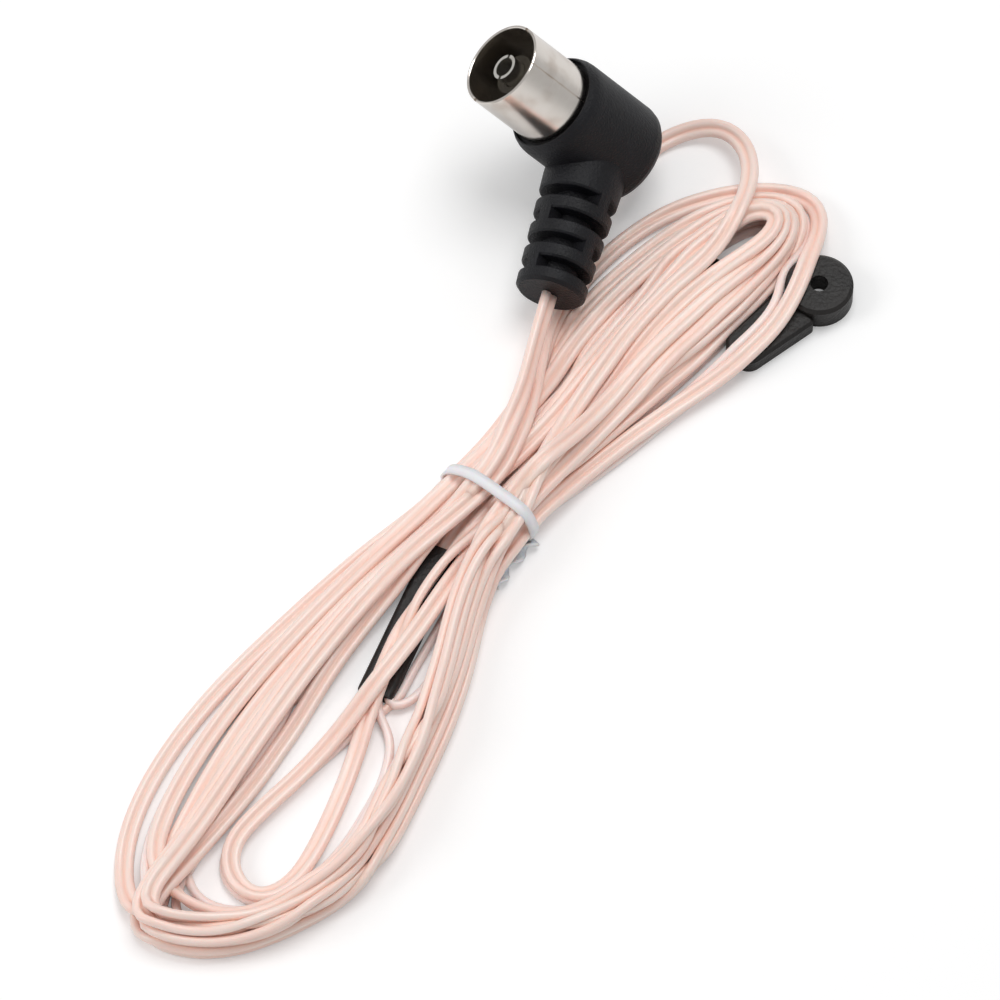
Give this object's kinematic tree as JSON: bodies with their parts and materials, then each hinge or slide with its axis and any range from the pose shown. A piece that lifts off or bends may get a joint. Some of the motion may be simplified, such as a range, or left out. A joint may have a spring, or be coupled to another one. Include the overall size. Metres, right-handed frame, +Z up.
{
  "type": "fm indoor antenna",
  "caption": "Indoor radio dipole aerial: clear twin lead wound in a tied hank, with a right-angle coaxial socket, a junction sleeve and eyelet end tabs.",
  "frame": {"origin": "on the surface that the aerial lies on, under the middle of the coaxial socket's box, without the cord", "axes": "+Z up, -Y along the strain relief towards the hank, with the socket's mouth leaning up towards -X"},
  "size_m": [0.0624, 0.1174, 0.0242],
  "materials": {
    "black_pvc": "satin moulded",
    "nickel_plate": "bright nickel plate",
    "black_insulator": "moulded",
    "nickel_contact": "nickel plate on brass",
    "copper": "bare copper",
    "clear_lead": "clear vinyl over copper strands",
    "white_tie": "white plastic strip",
    "black_sleeve": "moulded",
    "black_tab": "moulded"
  },
  "bodies": {
    "root": {"plug_body": "black_pvc", "outer_shell": "nickel_plate", "insulator": "black_insulator", "centre_contact": "nickel_contact", "signal_core": "copper", "ground_core": "copper", "feeder_lead": "clear_lead", "cord_hank": "clear_lead", "hank_tie": "white_tie", "junction_sleeve": "black_sleeve", "end_tab_right": "black_tab", "end_tab_left": "black_tab"}
  },
  "joints": []
}
